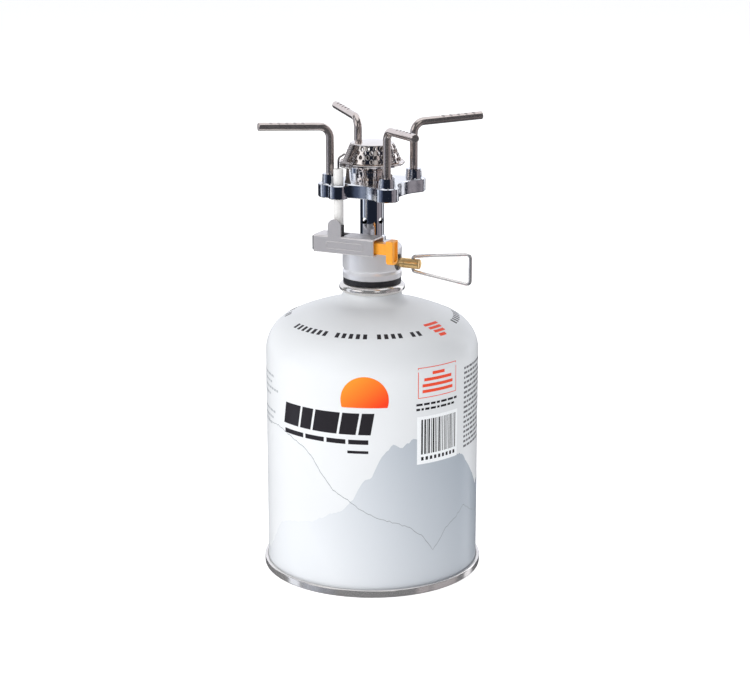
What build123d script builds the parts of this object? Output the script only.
from build123d import *
import os
from math import asin, cos, degrees, radians, sin

# Canister stove screwed onto a gas canister. Millimetres, +Z up. The origin is the centre of
# the canister's foot, and +X runs along the valve spindle towards its wire handle.
os.makedirs("parts", exist_ok=True)

# Canister skin and foot
canister_radius = 53.16
skin = 0.6
skin_foot_z = 1.0
rim_radius = 55.0
rim_height = 3.8
knuckle_radius = 17.95
knuckle_z = 112.14
crown_radius = 98.7
neck_radius = 14.21
neck_fillet = 7.0

# Rolled collar, valve cup and threaded nipple (7/16 inch, 28 threads per inch)
collar_z = 144.05
collar_radius = 16.46
curl_radius = 2.2
cup_sheet = 0.55
bead_radius = 1.3
nipple_radius = 5.556
nipple_top_z = 147.4
cup_floor_z = 137.0

# Valve body
body_radius = 14.7
body_foot_z = 149.1
body_top_z = 165.5
ledge_z = 163.95
connector_radius = 9.5
connector_foot_z = 139.6
thread_radius = 5.6
thread_roof_z = 148.3
groove_z = 153.0
groove_half_width = 1.1

# Valve spindle and its wire handle, on a horizontal axis
spindle_z = 157.4
spindle_radius = 2.5
spindle_end_x = 25.9
slot_width = 0.8
wire_x = 22.3
wire_end_x = 52.8
wire_radius = 0.9
wire_near_half = 3.7
wire_far_half = 7.6

# Mixing tube and support plate
tube_radius = 5.93
tube_bore = 5.2
tube_top_z = 205.0
flange_radius = 6.7
flange_top_z = 170.1
air_hole_z = 177.6
air_hole_radius = 1.65
air_hole_azimuths = (75, 165)
plate_foot_z = 190.5
plate_top_z = 197.3
boss_circle = 21.6
boss_azimuths = (45, 135, 225, 315)
lobe_radius = 5.9
hollow_radius = 20.8
boss_foot_radius = 4.1
boss_top_radius = 3.75
boss_top_z = 201.7
recess_radius = 3.9
recess_depth = 2.6

# Pot supports
arm_azimuths = (45, 135, 225, 317)
rod_radius = 1.95
rod_clearance = 0.06
rod_foot_z = 190.9
rod_elbow_z = 224.5
rod_tip_z = 226.2
rod_tip_radius = 57.5
rod_bend = 5.5
grip_radii = (36, 40, 44, 48, 52)
grip_cutter = 0.7
grip_depth = 0.75
grip_slant = 30

# Burner
cone_foot_radius = 14.2
cone_foot_z = 207.0
cone_top_radius = 10.65
cone_top_z = 215.2
cone_sheet = 0.4
port_count = 22
port_rows = (0.14, 0.38, 0.62, 0.86)
port_length = 2.2
port_width = 1.4
saucer_radius = 15.9
spark_azimuth = 241
strap_azimuth = 250

# Igniter
box_left_x = -20.4
box_right_x = 12.0
box_front_y = -23.5
box_back_y = -11.7
box_foot_z = 164.0
box_top_z = 172.7
box_sheet = 0.8
tab_x = -9.1
tab_radius = 3.45
tab_top_z = 180.9
screw_points = ((-3, -13.0), (3, -13.0))
ceramic_x = -9.0
ceramic_y = -18.7
ceramic_radius = 2.43
ceramic_foot_z = 171.0
ceramic_top_z = 205.0
piezo_y = -18.1
piezo_z = 168.3


def radial_plane(azimuth):
    """Upright plane through the Z axis, its x pointing out at azimuth and its y up."""
    out = (cos(radians(azimuth)), sin(radians(azimuth)), 0)
    return Plane(origin=(0, 0, 0), x_dir=out, z_dir=(out[1], -out[0], 0))


def boss_point(azimuth):
    """Centre of a support boss in plan."""
    return boss_circle * cos(radians(azimuth)), boss_circle * sin(radians(azimuth))


def dome_arc(top_z, edge_radius, drop):
    """Shallow arc from the axis out and down to edge_radius, level where it starts."""
    radius = (edge_radius**2 + drop**2) / (2 * drop)
    return JernArc((0, top_z), (1, 0), radius, -degrees(asin(edge_radius / radius)))


def along_x(x, z=spindle_z, y=0):
    """Plane facing +X at a point on a horizontal bore."""
    return Plane(origin=(x, y, z), x_dir=(0, 1, 0), z_dir=(1, 0, 0))


spindle_axis = Axis((0, 0, spindle_z), (1, 0, 0))
spindle_plane = Plane(origin=(0, 0, spindle_z), x_dir=(1, 0, 0), z_dir=(0, -1, 0))
from_start = (Align.CENTER, Align.CENTER, Align.MIN)


# ---------------------------------------------------------------- canister
knuckle_centre = canister_radius - knuckle_radius
blend_angle = degrees(asin(knuckle_centre / (crown_radius - knuckle_radius)))
crown_centre_z = knuckle_z - (crown_radius - knuckle_radius) * cos(radians(blend_angle))


def skin_outline(inset):
    """Half outline of the canister's skin, inset from its outside, in the line being built."""
    wall = canister_radius - inset
    crown = crown_radius - inset
    neck = neck_radius - inset
    neck_angle = degrees(asin(neck / crown))
    Polyline((0, skin_foot_z), (wall, skin_foot_z), (wall, knuckle_z))
    CenterArc((knuckle_centre, knuckle_z), knuckle_radius - inset, 0, 90 - blend_angle)
    dome = CenterArc((0, crown_centre_z), crown, 90 - blend_angle, blend_angle - neck_angle)
    Polyline(dome @ 1, (neck, collar_z), (0, collar_z), (0, skin_foot_z))


collar_centre = collar_radius - curl_radius
with BuildPart() as canister_shell:
    with BuildSketch(Plane.XZ) as outside:
        with BuildLine():
            skin_outline(0)
        make_face()
        neck_foot = outside.vertices().sort_by_distance((neck_radius, knuckle_z + 25))[0]
        fillet(neck_foot, radius=neck_fillet)
    revolve(axis=Axis.Z)
    with BuildSketch(Plane.XZ) as hollow:
        with BuildLine():
            skin_outline(skin)
        make_face()
        neck_foot = hollow.vertices().sort_by_distance((neck_radius, knuckle_z + 25))[0]
        fillet(neck_foot, radius=neck_fillet + skin)
    revolve(axis=Axis.Z, mode=Mode.SUBTRACT)
    with BuildSketch(Plane.XZ):
        with Locations((collar_centre, collar_z)):
            Circle(bead_radius)
    revolve(axis=Axis.Z)
canister_shell.part.label = "canister_shell"

# Domed bottom plate whose edge wraps the skin's foot in a seam
seam_in = canister_radius + 0.04
channel_in = canister_radius - skin - 0.06
panel_z = 10.6
panel_rise = 5.4
with BuildPart() as canister_base:
    with BuildSketch(Plane.XZ) as seam:
        with BuildLine():
            Polyline(
                (channel_in, panel_z - panel_rise),
                (channel_in, skin_foot_z - 0.05),
                (seam_in, skin_foot_z - 0.05),
                (seam_in, rim_height - 0.5),
                (seam_in + 0.5, rim_height),
                (rim_radius, rim_height),
                (rim_radius, 0),
                (channel_in - skin, 0),
                (channel_in - skin, panel_z - panel_rise - skin),
            )
            dome_arc(panel_z - skin, channel_in - skin, panel_rise)
            Line((0, panel_z - skin), (0, panel_z))
            dome_arc(panel_z, channel_in, panel_rise)
        make_face()
        outer_corners = seam.vertices().filter_by_position(Axis.X, rim_radius - 0.1, rim_radius + 0.1)
        fillet(outer_corners, radius=0.6)
        inner_corner = seam.vertices().sort_by_distance((channel_in - skin, 0))[0]
        fillet(inner_corner, radius=0.5)
    revolve(axis=Axis.Z)
canister_base.part.label = "canister_base"

# Tinplate cup: curled over the bead, recessed floor, threaded nipple in the middle
cup_wall = collar_centre - curl_radius
with BuildPart() as valve_cup:
    with BuildSketch(Plane.XZ):
        with BuildLine():
            curl = CenterArc((collar_centre, collar_z), curl_radius, -60, 240)
            curl_inside = CenterArc((collar_centre, collar_z), curl_radius - cup_sheet, -60, 240)
            Line(curl @ 0, curl_inside @ 0)
            Polyline(
                curl @ 1,
                (cup_wall, cup_floor_z + 0.8),
                (cup_wall - 0.8, cup_floor_z),
                (nipple_radius, cup_floor_z),
                (nipple_radius, nipple_top_z - 0.4),
                (nipple_radius - 0.4, nipple_top_z),
                (1.7, nipple_top_z),
                (1.7, nipple_top_z - 1.0),
                (4.4, nipple_top_z - 1.0),
                (4.4, cup_floor_z - 0.6),
                (cup_wall + cup_sheet, cup_floor_z - 0.6),
                curl_inside @ 1,
            )
        make_face()
    revolve(axis=Axis.Z)
valve_cup.part.label = "valve_cup"

# Thin rubber ring squeezed between the bead and the curl
with BuildPart() as cup_gasket:
    with BuildSketch(Plane.XZ):
        with BuildLine():
            gasket_out = CenterArc((collar_centre, collar_z), curl_radius - cup_sheet - 0.02, 0, 180)
            gasket_in = CenterArc((collar_centre, collar_z), bead_radius + 0.02, 0, 180)
            Line(gasket_out @ 0, gasket_in @ 0)
            Line(gasket_out @ 1, gasket_in @ 1)
        make_face()
    revolve(axis=Axis.Z)
cup_gasket.part.label = "cup_gasket"

# Canister valve: housing, stem, spring and stem gasket inside the nipple
with BuildPart() as canister_valve_housing:
    with BuildSketch(Plane.XY.offset(134.0)):
        Circle(4.3)
    extrude(amount=11.4)
    with BuildSketch(Plane.XY.offset(135.0)):
        Circle(3.4)
    extrude(amount=10.4, mode=Mode.SUBTRACT)
    with BuildSketch(Plane.XY.offset(134.0)):
        Circle(1.0)
    extrude(amount=1.0, mode=Mode.SUBTRACT)
canister_valve_housing.part.label = "canister_valve_housing"

with BuildPart() as canister_valve_stem:
    with BuildSketch(Plane.XY.offset(139.5)):
        Circle(2.8)
    extrude(amount=4.1)
    with BuildSketch(Plane.XY.offset(143.6)):
        Circle(1.0)
    extrude(amount=2.2)
canister_valve_stem.part.label = "canister_valve_stem"

with BuildPart() as stem_gasket:
    with BuildSketch(Plane.XY.offset(145.45)):
        Circle(4.3)
        Circle(1.35, mode=Mode.SUBTRACT)
    extrude(amount=0.9)
stem_gasket.part.label = "stem_gasket"

with BuildPart() as canister_valve_spring:
    with BuildLine():
        coil = Helix(pitch=0.95, height=3.6, radius=2.4, center=(0, 0, 135.45))
    with BuildSketch(Plane(coil @ 0, z_dir=coil % 0)):
        Circle(0.28)
    sweep()
canister_valve_spring.part.label = "canister_valve_spring"

# ---------------------------------------------------------------- connector
with BuildPart() as connector_gasket:
    with BuildSketch(Plane.XY.offset(146.4)):
        Circle(body_radius - 0.3)
        Circle(connector_radius + 0.1, mode=Mode.SUBTRACT)
    extrude(amount=2.65)
    fillet(connector_gasket.edges().filter_by(GeomType.CIRCLE).sort_by(SortBy.RADIUS)[-2:], radius=0.35)
connector_gasket.part.label = "connector_gasket"

chamber_x = 2.5
inlet_x = 4.2
with BuildPart() as valve_body:
    with BuildSketch(Plane.XZ) as body_outline:
        with BuildLine():
            Polyline(
                (0, connector_foot_z),
                (connector_radius, connector_foot_z),
                (connector_radius, body_foot_z),
                (body_radius - 0.4, body_foot_z),
                (body_radius, body_foot_z + 0.4),
                (body_radius, groove_z - groove_half_width),
                (body_radius - 0.7, groove_z),
                (body_radius, groove_z + groove_half_width),
                (body_radius, body_top_z),
                (0, body_top_z),
                (0, connector_foot_z),
            )
        make_face()
        shoulder = body_outline.vertices().sort_by_distance((body_radius, body_top_z))[0]
        fillet(shoulder, radius=1.5)
    revolve(axis=Axis.Z)
    with BuildSketch(Plane.XY.offset(connector_foot_z)):
        Circle(thread_radius)
    extrude(amount=thread_roof_z - connector_foot_z, mode=Mode.SUBTRACT)
    with BuildSketch(Plane.XY.offset(thread_roof_z)):
        Circle(5.0)
    extrude(amount=1.0, mode=Mode.SUBTRACT)
    with BuildSketch(Plane.XY.offset(thread_roof_z)):
        Circle(1.2)
    extrude(amount=4.0, mode=Mode.SUBTRACT)
    with BuildSketch(Plane.XY.offset(thread_roof_z)):
        with Locations((inlet_x, 0)):
            Circle(0.7)
    extrude(amount=spindle_z - thread_roof_z, mode=Mode.SUBTRACT)
    with Locations(along_x(0)):
        Cylinder(0.6, 12, align=from_start, mode=Mode.SUBTRACT)
    with Locations(along_x(chamber_x)):
        Cylinder(1.6, 8, align=from_start, mode=Mode.SUBTRACT)
    with Locations(along_x(6.0)):
        Cylinder(2.36, 12, align=from_start, mode=Mode.SUBTRACT)
    with Locations(along_x(11.5)):
        Cylinder(4.2, 8, align=from_start, mode=Mode.SUBTRACT)
    with BuildSketch(Plane.XY.offset(spindle_z)):
        Circle(1.0)
    extrude(amount=body_top_z - spindle_z, mode=Mode.SUBTRACT)
    with BuildSketch(Plane.XY.offset(161.5)):
        Circle(2.55)
    extrude(amount=body_top_z - 161.5, mode=Mode.SUBTRACT)
    with BuildSketch(Plane.XY.offset(ledge_z)):
        with Locations((0, -body_radius - 1.5)):
            Rectangle(2 * body_radius + 2, 10)
    extrude(amount=5, mode=Mode.SUBTRACT)
    with BuildSketch(Plane.XY.offset(ledge_z)):
        with Locations(*screw_points):
            Circle(0.85)
    extrude(amount=-4, mode=Mode.SUBTRACT)
valve_body.part.label = "valve_body"

with BuildPart() as nipple_seal:
    with BuildSketch(Plane.XY.offset(147.5)):
        Circle(5.5)
        Circle(3.0, mode=Mode.SUBTRACT)
    extrude(amount=0.75)
nipple_seal.part.label = "nipple_seal"

with BuildPart() as gas_filter:
    with BuildSketch(Plane.XY.offset(148.35)):
        Circle(4.95)
        Circle(1.3, mode=Mode.SUBTRACT)
    extrude(amount=0.85)
gas_filter.part.label = "gas_filter"

with BuildPart() as depressor_pin:
    with BuildSketch(Plane.XY.offset(145.9)):
        Circle(1.15)
    extrude(amount=6.2)
    chamfer(depressor_pin.edges().group_by(Axis.Z)[0], length=0.3)
depressor_pin.part.label = "depressor_pin"

# ---------------------------------------------------------------- valve spindle
with BuildPart() as valve_spindle:
    with BuildSketch(spindle_plane):
        with BuildLine():
            Polyline(
                (1.9, 0),
                (1.9, 0.2),
                (3.6, 1.0),
                (6.2, 1.0),
                (6.2, 2.3),
                (8.0, 2.3),
                (8.0, 1.6),
                (9.2, 1.6),
                (9.2, 2.3),
                (10.4, 2.3),
                (10.4, 1.9),
                (15.9, 1.9),
                (16.1, spindle_radius),
                (18.2, spindle_radius),
                (18.35, spindle_radius - 0.15),
                (18.5, spindle_radius),
                (spindle_end_x - 0.3, spindle_radius),
                (spindle_end_x, spindle_radius - 0.3),
                (spindle_end_x, 0.6),
                (spindle_end_x - 0.5, 0),
                (1.9, 0),
            )
        make_face()
    revolve(axis=spindle_axis)
    with BuildSketch(Plane.XY.offset(spindle_z)):
        with Locations((wire_x, 0)):
            Circle(wire_radius + 0.07)
    extrude(amount=4, both=True, mode=Mode.SUBTRACT)
    with Locations((spindle_end_x, 0, spindle_z)):
        Box(2, slot_width, 6, mode=Mode.SUBTRACT)
valve_spindle.part.label = "valve_spindle"

with BuildPart() as spindle_o_ring:
    with BuildSketch(spindle_plane):
        with Locations((8.6, 1.98)):
            Circle(0.33)
    revolve(axis=spindle_axis)
spindle_o_ring.part.label = "spindle_o_ring"

with BuildPart() as spindle_gland:
    with BuildSketch(along_x(12.2)):
        Circle(4.1)
        Circle(1.97, mode=Mode.SUBTRACT)
    extrude(amount=1.2)
    with BuildSketch(along_x(13.0)):
        with PolarLocations(3.1, 2):
            Circle(0.5)
    extrude(amount=1.0, mode=Mode.SUBTRACT)
spindle_gland.part.label = "spindle_gland"

# Open wire loop whose two ends turn into the spindle's cross hole
with BuildPart() as wire_handle:
    with BuildLine(spindle_plane):
        loop = FilletPolyline(
            (wire_x, 0.3),
            (wire_x, wire_near_half),
            (wire_end_x, wire_far_half),
            (wire_end_x, -wire_far_half),
            (wire_x, -wire_near_half),
            (wire_x, -0.3),
            radius=[1.3, 1.9, 1.9, 1.3],
        )
    with BuildSketch(Plane(loop @ 0, z_dir=loop % 0)):
        Circle(wire_radius)
    sweep()
wire_handle.part.label = "wire_handle"

# ---------------------------------------------------------------- jet and mixing tube
with BuildPart() as jet:
    with BuildSketch(Plane.XY.offset(161.6)):
        Circle(2.5)
    extrude(amount=4.0)
    with BuildSketch(Plane.XY.offset(165.55)):
        RegularPolygon(radius=2.9, side_count=6)
    extrude(amount=2.0)
    with BuildSketch(Plane.XY.offset(167.55)):
        Circle(1.6)
    extrude(amount=1.6, taper=12)
    with BuildSketch(Plane.XY.offset(161.6)):
        Circle(1.0)
    extrude(amount=6.6, mode=Mode.SUBTRACT)
    with BuildSketch(Plane.XY.offset(168.0)):
        Circle(0.2)
    extrude(amount=2.0, mode=Mode.SUBTRACT)
jet.part.label = "jet"

with BuildPart() as mixing_tube:
    with BuildSketch(Plane.XZ):
        with BuildLine():
            Polyline(
                (tube_bore, body_top_z + 0.02),
                (flange_radius, body_top_z + 0.02),
                (flange_radius, flange_top_z - 0.6),
                (flange_radius - 0.6, flange_top_z),
                (tube_radius, flange_top_z),
                (tube_radius, tube_top_z),
                (tube_bore, tube_top_z),
                (tube_bore, body_top_z + 0.02),
            )
        make_face()
    revolve(axis=Axis.Z)
    for azimuth in air_hole_azimuths:
        with Locations(Plane(origin=(0, 0, air_hole_z), z_dir=radial_plane(azimuth).x_dir)):
            Cylinder(air_hole_radius, 20, mode=Mode.SUBTRACT)
mixing_tube.part.label = "mixing_tube"

# ---------------------------------------------------------------- support plate
# Each side of the plate is a hollow that runs tangent into the lobes beside it.
lobe_x, lobe_y = boss_point(boss_azimuths[0])
hollow_centre = lobe_x + ((hollow_radius + lobe_radius) ** 2 - lobe_x**2) ** 0.5
reach = hollow_radius / (hollow_radius + lobe_radius)
tangent_x = hollow_centre + (lobe_x - hollow_centre) * reach
tangent_y = lobe_y * reach

with BuildPart() as support_plate:
    with BuildSketch(Plane.XY.offset(plate_foot_z)):
        for quarter in range(4):
            with BuildLine(Plane.XY.rotated((0, 0, 90 * quarter))):
                Polyline((tangent_x, tangent_y), (lobe_x, lobe_y), (0, 0), (lobe_x, -lobe_y),
                         (tangent_x, -tangent_y))
                ThreePointArc(
                    (tangent_x, -tangent_y), (hollow_centre - hollow_radius, 0), (tangent_x, tangent_y)
                )
            make_face()
        with Locations(*[boss_point(azimuth) for azimuth in boss_azimuths]):
            Circle(lobe_radius)
        with Locations((ceramic_x, ceramic_y - 0.3)):
            Circle(ceramic_radius + 2.5)
    extrude(amount=plate_top_z - plate_foot_z)
    rims = support_plate.faces().filter_by(Axis.Z).edges()
    chamfer(rims, length=0.45)
    with BuildSketch(Plane.XY.offset(plate_top_z)):
        with Locations(*[boss_point(azimuth) for azimuth in boss_azimuths]):
            Circle(boss_foot_radius)
    extrude(amount=boss_top_z - plate_top_z, taper=4.3)
    with BuildSketch(Plane.XY.offset(boss_top_z - 0.8)):
        for azimuth in boss_azimuths:
            with Locations(Location((*boss_point(azimuth), 0), (0, 0, azimuth + 90))):
                SlotOverall(2 * boss_foot_radius + 1, 1.3)
    extrude(amount=2, mode=Mode.SUBTRACT)
    with BuildSketch(Plane.XY.offset(plate_foot_z)):
        with Locations(*[boss_point(azimuth) for azimuth in boss_azimuths]):
            Circle(rod_radius + rod_clearance)
        Circle(tube_radius + 0.03)
        with Locations((ceramic_x, ceramic_y)):
            Circle(ceramic_radius + 0.08)
    extrude(amount=20, mode=Mode.SUBTRACT)
    with BuildSketch(Plane.XY.offset(plate_foot_z)):
        with Locations(*[boss_point(azimuth) for azimuth in boss_azimuths]):
            Circle(recess_radius)
    extrude(amount=recess_depth, mode=Mode.SUBTRACT)
support_plate.part.label = "support_plate"

# Spring washers in the plate's recesses, one round each support rod
with BuildPart() as detent_washers:
    with BuildSketch(Plane.XY.offset(plate_foot_z + recess_depth - 1.0)):
        with Locations(*[boss_point(azimuth) for azimuth in boss_azimuths]):
            Circle(recess_radius - 0.3)
            Circle(rod_radius + 0.15, mode=Mode.SUBTRACT)
    extrude(amount=0.95)
detent_washers.part.label = "detent_washers"

# ---------------------------------------------------------------- pot supports
arm_length = rod_tip_radius - boss_circle
arm_slope = (rod_tip_z - rod_elbow_z) / arm_length


def pot_support(boss_azimuth, arm_azimuth):
    """Bent rod with a peened foot, two swaged ears and slanted grip notches on its arm."""
    boss_x, boss_y = boss_point(boss_azimuth)
    side = radial_plane(arm_azimuth)
    side.origin = (boss_x, boss_y, 0)
    with BuildPart() as rod:
        with BuildLine(side):
            bent = FilletPolyline(
                (0, rod_foot_z),
                (0, rod_elbow_z),
                (arm_length, rod_tip_z),
                radius=rod_bend,
            )
        with BuildSketch(Plane(bent @ 0, z_dir=bent % 0)):
            Circle(rod_radius)
        sweep()
        tip_edge = rod.edges().filter_by(GeomType.CIRCLE).sort_by(Axis.Z)[-1]
        chamfer(tip_edge, length=0.25)
        with BuildSketch(Plane.XY.offset(rod_foot_z - 0.2)):
            with Locations((boss_x, boss_y)):
                Circle(2.9)
        extrude(amount=1.2)
        with BuildSketch(Plane.XY.offset(boss_top_z + 0.1)):
            with Locations(Location((boss_x, boss_y, 0), (0, 0, arm_azimuth + 90))):
                SlotOverall(5.6, 1.1)
        extrude(amount=1.6)
        for radius in grip_radii:
            along = radius - boss_circle
            arm_top = rod_elbow_z + arm_slope * along + rod_radius
            middle = side.from_local_coords((along, arm_top + grip_cutter - grip_depth, 0))
            across = radial_plane(arm_azimuth + grip_slant).z_dir
            with Locations(Plane(origin=middle, z_dir=across)):
                Cylinder(grip_cutter, 8, mode=Mode.SUBTRACT)
    return rod


pot_supports = [pot_support(*azimuths) for azimuths in zip(boss_azimuths, arm_azimuths)]
for number, support in enumerate(pot_supports, start=1):
    support.part.label = f"pot_support_{number}"

# ---------------------------------------------------------------- burner
with BuildPart() as burner_neck:
    with BuildSketch(Plane.XZ):
        with BuildLine():
            Polyline(
                (tube_radius + 0.03, plate_top_z + 0.05),
                (7.2, plate_top_z + 0.05),
                (7.2, 197.85),
                (6.15, 198.2),
                (6.15, 198.5),
                (6.6, 198.9),
                (6.6, 199.5),
                (6.15, 199.9),
                (6.15, 201.6),
                (6.6, 202.0),
                (6.6, 202.6),
                (6.15, 203.0),
                (6.15, 203.6),
                (6.6, 204.3),
                (tube_radius + 0.03, 204.3),
                (tube_radius + 0.03, plate_top_z + 0.05),
            )
        make_face()
    revolve(axis=Axis.Z)
burner_neck.part.label = "burner_neck"

with BuildPart() as burner_saucer:
    with BuildSketch(Plane.XZ):
        with BuildLine():
            Polyline(
                (tube_radius + 0.03, 204.35),
                (12.5, 204.35),
                (15.5, 205.4),
                (saucer_radius, 206.1),
                (saucer_radius - 0.3, 206.6),
                (15.2, 206.2),
                (12.4, 204.85),
                (tube_radius + 0.03, 204.85),
                (tube_radius + 0.03, 204.35),
            )
        make_face()
    revolve(axis=Axis.Z)
burner_saucer.part.label = "burner_saucer"

cone_run = cone_foot_radius - cone_top_radius
cone_rise = cone_top_z - cone_foot_z


def port_planes(share, offset):
    """Planes square to the cone at one height, each with its y up the slope."""
    radius = cone_foot_radius - cone_run * share
    for number in range(port_count):
        azimuth = 360 * (number + offset) / port_count
        side = radial_plane(azimuth)
        origin = side.from_local_coords((radius, cone_foot_z + cone_rise * share, 0))
        outward = cone_rise * side.x_dir + cone_run * Vector(0, 0, 1)
        yield Plane(origin=origin, x_dir=side.z_dir, z_dir=outward)


with BuildPart() as port_punch:
    with BuildSketch():
        SlotOverall(port_length, port_width, rotation=90)
    extrude(amount=1.5, both=True)

with BuildPart() as burner_cone:
    with BuildSketch(Plane.XZ):
        with BuildLine():
            Polyline(
                (cone_foot_radius - 1.2, cone_foot_z - 1.5),
                (cone_foot_radius, cone_foot_z),
                (cone_top_radius, cone_top_z),
                (cone_top_radius - cone_sheet, cone_top_z),
                (cone_foot_radius - cone_sheet - 0.2, cone_foot_z),
                (cone_foot_radius - 1.7, cone_foot_z - 1.5),
                (cone_foot_radius - 1.2, cone_foot_z - 1.5),
            )
        make_face()
    revolve(axis=Axis.Z)
    for row, share in enumerate(port_rows):
        with Locations(*port_planes(share, row % 2 / 2)):
            add(port_punch.part, mode=Mode.SUBTRACT)
burner_cone.part.label = "burner_cone"

with BuildPart() as burner_cap:
    with BuildSketch(Plane.XZ):
        with BuildLine():
            Polyline(
                (0, cone_top_z + 0.05),
                (cone_top_radius + 0.1, cone_top_z + 0.05),
                (cone_top_radius + 0.1, cone_top_z + 0.35),
                (cone_top_radius - 0.4, cone_top_z + 0.55),
            )
            dome_arc(cone_top_z + 0.9, cone_top_radius - 0.4, 0.35)
            Line((0, cone_top_z + 0.9), (0, cone_top_z + 0.05))
        make_face()
    revolve(axis=Axis.Z)
burner_cap.part.label = "burner_cap"

# Cap over the mixing tube's mouth that turns the gas sideways
with BuildPart() as flame_baffle:
    with BuildSketch(Plane.XY.offset(202.5)):
        Circle(tube_bore - 0.03)
        Circle(tube_bore - 0.5, mode=Mode.SUBTRACT)
    extrude(amount=7.5)
    with BuildSketch(Plane.XY.offset(210.0)):
        Circle(7.5)
    extrude(amount=0.5)
    for azimuth in (0, 60, 120):
        with Locations(Plane(origin=(0, 0, 207.8), z_dir=radial_plane(azimuth).x_dir)):
            Cylinder(1.5, 20, mode=Mode.SUBTRACT)
flame_baffle.part.label = "flame_baffle"

# Earth plate bent over the saucer's rim in front of the cone, with a strap down to the plate
with BuildPart() as spark_plate:
    with BuildSketch(radial_plane(spark_azimuth - 18)):
        with BuildLine():
            Polyline(
                (cone_top_radius + 0.3, cone_top_z),
                (cone_top_radius + 0.7, cone_top_z),
                (cone_foot_radius + 0.8, cone_foot_z + 0.6),
                (saucer_radius + 0.7, cone_foot_z),
                (saucer_radius + 0.7, 204.3),
                (saucer_radius + 0.3, 204.3),
                (saucer_radius + 0.3, cone_foot_z - 0.25),
                (cone_foot_radius + 0.5, cone_foot_z + 0.3),
                (cone_top_radius + 0.3, cone_top_z),
            )
        make_face()
    revolve(axis=Axis.Z, revolution_arc=36)
    strap = radial_plane(strap_azimuth)
    with BuildSketch(Plane(strap.x_dir * (saucer_radius + 0.5), -strap.z_dir, strap.x_dir)):
        with BuildLine():
            Polyline((-0.8, 204.8), (0.8, 204.8), (2.0, plate_top_z + 0.1), (-2.0, plate_top_z + 0.1),
                     (-0.8, 204.8))
        make_face()
    extrude(amount=0.2, both=True)
spark_plate.part.label = "spark_plate"

# ---------------------------------------------------------------- igniter
box_mid_y = (box_front_y + box_back_y) / 2
box_length = box_right_x - box_left_x
box_depth = box_back_y - box_front_y
end_face = Plane(origin=(box_left_x, 0, 0), x_dir=(0, 1, 0), z_dir=(1, 0, 0))

with BuildPart() as igniter_bracket:
    with BuildSketch(end_face) as tube_section:
        with Locations((box_mid_y, (box_foot_z + box_top_z) / 2)):
            RectangleRounded(box_depth, box_top_z - box_foot_z, 1.0)
            RectangleRounded(box_depth - 2 * box_sheet, box_top_z - box_foot_z - 2 * box_sheet, 0.25,
                             mode=Mode.SUBTRACT)
    extrude(amount=box_length)
    chamfer(igniter_bracket.edges().group_by(Axis.X)[-1], length=0.15)
    with BuildSketch(Plane.XY.offset(box_top_z - 2)):
        with Locations((tab_x, box_front_y + box_sheet)):
            Rectangle(2 * tab_radius + 1.0, 8.5, align=(Align.CENTER, Align.MIN))
    extrude(amount=3, mode=Mode.SUBTRACT)
    with BuildSketch(Plane.XY.offset(box_foot_z + box_sheet)):
        with Locations((0, box_back_y)):
            Rectangle(10, 2.4)
    extrude(amount=2.5, mode=Mode.SUBTRACT)
    with BuildSketch(Plane(origin=(tab_x, box_front_y, 0), x_dir=(1, 0, 0), z_dir=(0, -1, 0))):
        with Locations((0, (box_top_z + tab_top_z - tab_radius) / 2 - 1)):
            Rectangle(2 * tab_radius, tab_top_z - tab_radius - box_top_z + 2)
        with Locations((0, tab_top_z - tab_radius)):
            Circle(tab_radius)
    extrude(amount=-box_sheet)
    with BuildSketch(Plane.XY.offset(box_foot_z)):
        with Locations(*screw_points):
            Circle(0.85)
    extrude(amount=box_sheet, mode=Mode.SUBTRACT)
igniter_bracket.part.label = "igniter_bracket"

with BuildPart() as bracket_screws:
    with BuildSketch(Plane.XY.offset(box_foot_z - 3.6)):
        with Locations(*screw_points):
            Circle(0.8)
    extrude(amount=3.6 + box_sheet)
    with BuildSketch(Plane.XY.offset(box_foot_z + box_sheet)):
        with Locations(*screw_points):
            Circle(1.4)
    extrude(amount=0.6)
bracket_screws.part.label = "bracket_screws"

# Plastic housing: the piezo unit's bore, an end plug, and a saddle that holds the ceramic
inside_foot = box_foot_z + box_sheet + 0.1
inside_top = box_top_z - box_sheet - 0.1
inside_front = box_front_y + box_sheet + 0.05
with BuildPart() as piezo_housing:
    with BuildSketch(Plane(origin=(box_left_x - 1, 0, 0), x_dir=(0, 1, 0), z_dir=(1, 0, 0))):
        with Locations(((inside_front - 14.8) / 2, (inside_foot + inside_top) / 2)):
            RectangleRounded(-14.8 - inside_front, inside_top - inside_foot, 0.4)
    extrude(amount=21.1)
    with BuildSketch(Plane.XY.offset(inside_foot)):
        with Locations((tab_x, inside_front + 1.7)):
            Rectangle(2 * tab_radius - 0.1, 3.4)
    extrude(amount=177.8 - inside_foot)
    with Locations(along_x(box_left_x + 0.6, piezo_z, piezo_y)):
        Cylinder(2.3, 25, align=from_start, mode=Mode.SUBTRACT)
    with BuildSketch(Plane.XY.offset(piezo_z)):
        with Locations((ceramic_x, ceramic_y)):
            Circle(ceramic_radius + 0.05)
    extrude(amount=20, mode=Mode.SUBTRACT)
piezo_housing.part.label = "piezo_housing"

with BuildPart() as piezo_element:
    with Locations(along_x(-19.3, piezo_z, piezo_y)):
        Cylinder(2.2, 9.0, align=from_start)
piezo_element.part.label = "piezo_element"

with BuildPart() as anvil:
    with Locations(along_x(-10.2, piezo_z, piezo_y)):
        Cylinder(2.0, 0.8, align=from_start)
anvil.part.label = "anvil"

with BuildPart() as piezo_hammer:
    with Locations(along_x(-8.2, piezo_z, piezo_y)):
        Cylinder(2.1, 1.2, align=from_start)
piezo_hammer.part.label = "piezo_hammer"

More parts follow.
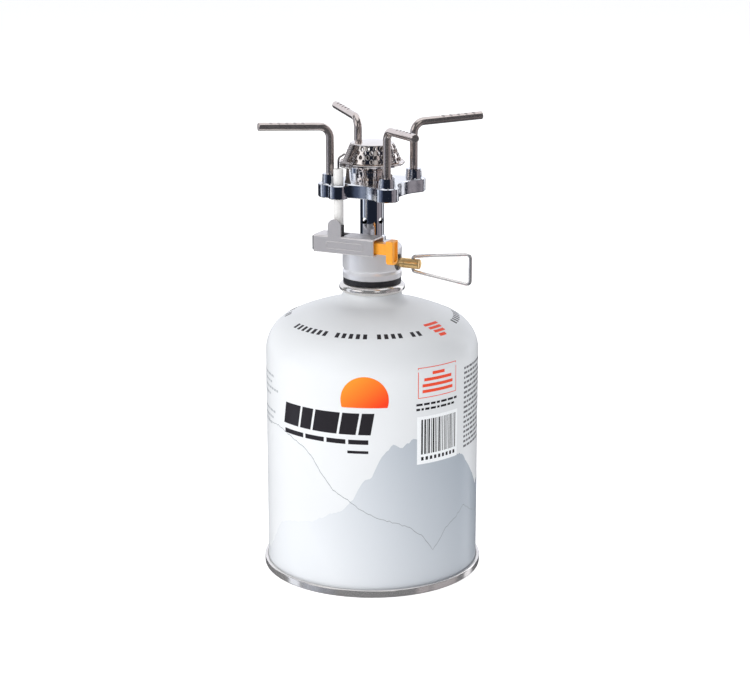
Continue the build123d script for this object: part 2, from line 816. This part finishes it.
# Button: guided block, hanging thumb pad with a U-shaped recess, and a rod into the housing
block_x = 8.3
pad_x = 18.0
pad_end_x = 21.4
pad_top_z = 172.2
pad_foot_z = 160.5
block_z = 167.9
button_front_y = -21.9
button_back_y = -15.3
button_mid_y = (button_front_y + button_back_y) / 2
button_depth = button_back_y - button_front_y
with BuildPart() as igniter_button:
    with BuildSketch(along_x(block_x, block_z, button_mid_y)):
        RectangleRounded(button_depth - 1.8, 5.5, 0.3)
    extrude(amount=pad_x - block_x)
    with BuildSketch(along_x(pad_x, 0, button_mid_y)) as pad:
        with Locations((0, (pad_top_z + pad_foot_z) / 2)):
            Rectangle(button_depth, pad_top_z - pad_foot_z)
        fillet(pad.vertices().group_by(Axis.Y)[0], radius=2.4)
    extrude(amount=pad_end_x - pad_x)
    fillet(igniter_button.edges().group_by(Axis.X)[-1], radius=0.45)
    with BuildSketch(along_x(pad_end_x, 0, button_mid_y)) as thumb:
        with Locations((0, (pad_top_z + pad_foot_z) / 2 + 0.3)):
            Rectangle(button_depth - 2.2, pad_top_z - pad_foot_z - 2.2)
        fillet(thumb.vertices().group_by(Axis.Y)[0], radius=1.8)
    extrude(amount=-0.8, mode=Mode.SUBTRACT)
    with Locations(along_x(0.6, piezo_z, piezo_y)):
        Cylinder(1.2, block_x - 0.6, align=from_start)
igniter_button.part.label = "igniter_button"

with BuildPart() as return_spring:
    with BuildLine():
        coil = Helix(1.4, 7.0, 1.75, center=(0.6, piezo_y, piezo_z), direction=(1, 0, 0))
    with BuildSketch(Plane(coil @ 0, z_dir=coil % 0)):
        Circle(0.2)
    sweep()
return_spring.part.label = "return_spring"

with BuildPart() as ceramic_insulator:
    with BuildSketch(Plane.XY.offset(ceramic_foot_z)):
        with Locations((ceramic_x, ceramic_y)):
            Circle(ceramic_radius)
            Circle(0.55, mode=Mode.SUBTRACT)
    extrude(amount=ceramic_top_z - ceramic_foot_z)
    chamfer(ceramic_insulator.edges().group_by(Axis.Z)[-1].sort_by(SortBy.RADIUS)[-1], length=0.25)
ceramic_insulator.part.label = "ceramic_insulator"

with BuildPart() as electrode_wire:
    with BuildLine():
        spark_path = FilletPolyline(
            (ceramic_x, ceramic_y, ceramic_foot_z - 0.4),
            (ceramic_x, ceramic_y, 210.2),
            (-8.5, -13.4, 211.3),
            radius=2.0,
        )
    with BuildSketch(Plane(spark_path @ 0, z_dir=spark_path % 0)):
        Circle(0.5)
    sweep()
electrode_wire.part.label = "electrode_wire"

# ---------------------------------------------------------------- export
pieces = (
    canister_shell, canister_base, valve_cup, cup_gasket, canister_valve_housing,
    canister_valve_stem, canister_valve_spring, stem_gasket, connector_gasket, valve_body,
    nipple_seal, gas_filter, depressor_pin, valve_spindle, spindle_o_ring, spindle_gland,
    wire_handle, jet, mixing_tube, support_plate, detent_washers, *pot_supports, burner_neck,
    burner_saucer, burner_cone, burner_cap, flame_baffle, spark_plate, igniter_bracket,
    bracket_screws, piezo_housing, piezo_element, anvil, piezo_hammer, igniter_button,
    return_spring, ceramic_insulator, electrode_wire,
)
for piece in pieces:
    export_step(piece.part, f"parts/{piece.part.label}.step")
